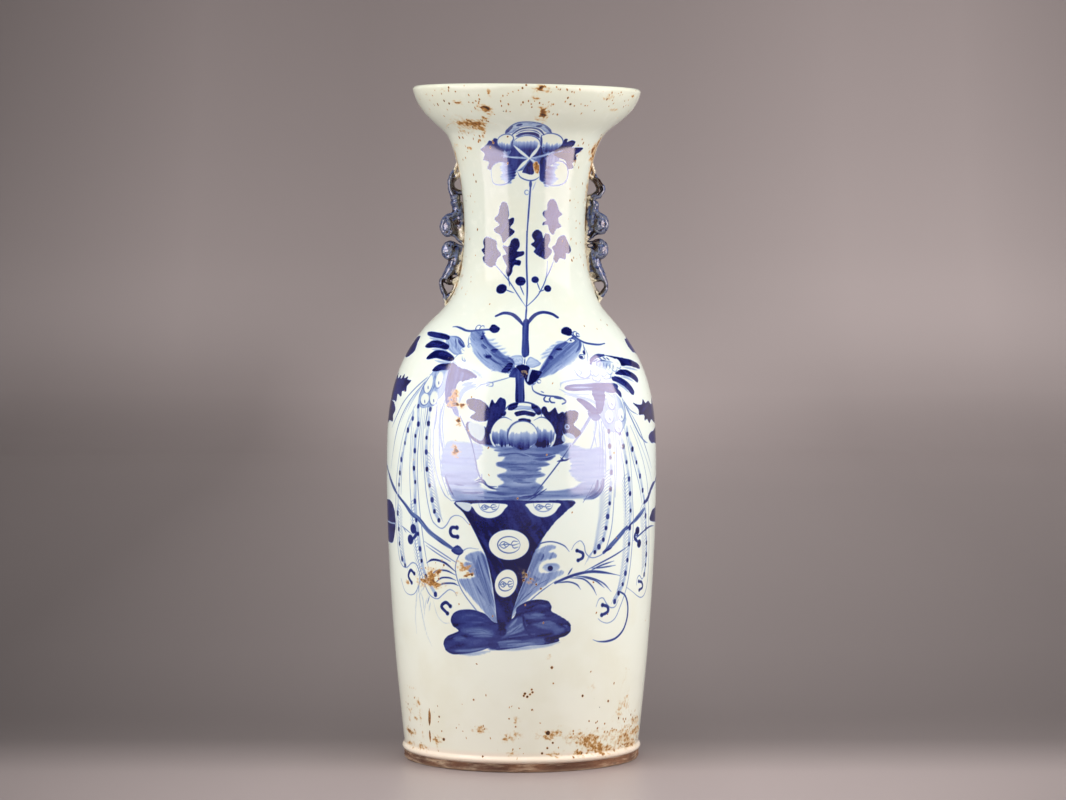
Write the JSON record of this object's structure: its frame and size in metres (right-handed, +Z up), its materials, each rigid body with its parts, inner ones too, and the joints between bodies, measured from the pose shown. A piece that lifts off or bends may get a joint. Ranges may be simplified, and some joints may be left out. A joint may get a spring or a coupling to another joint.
{
  "type": "baluster vase",
  "caption": "Tall glazed porcelain baluster vase with a flared cup mouth, waisted neck, scroll handles and cobalt-blue painting of confronted phoenixes, rocks and peonies.",
  "frame": {"origin": "centre of the foot ring's underside, on the surface that the vase stands on", "axes": "+Z up along the pot's axis; -Y towards the painted front; +X to the right of someone who looks at the front"},
  "size_m": [0.242, 0.242, 0.6014],
  "materials": {
    "glaze": "glossy pale celadon-grey glaze over white porcelain, with cobalt-blue painting under the glaze",
    "blue_glaze": "glossy cobalt-washed blue glaze, thin and brown on the edges, pooled dark in the hollows",
    "biscuit": "unglazed brown-burnt biscuit, matt",
    "slip": "thinly glazed luting slip on the inside of the seams"
  },
  "bodies": {
    "root": {"foot_ring": "biscuit", "base_floor": "biscuit", "lower_body": "glaze", "upper_body": "glaze", "shoulder": "glaze", "lower_neck": "glaze", "upper_neck": "glaze", "mouth": "glaze", "floor_luting_fillet": "slip", "waist_luting_seam": "slip", "neck_luting_seam": "slip", "mouth_luting_seam": "slip", "right_handle_upper_scroll": "blue_glaze", "right_handle_lower_scroll": "blue_glaze", "left_handle_upper_scroll": "blue_glaze", "left_handle_lower_scroll": "blue_glaze"}
  },
  "joints": []
}
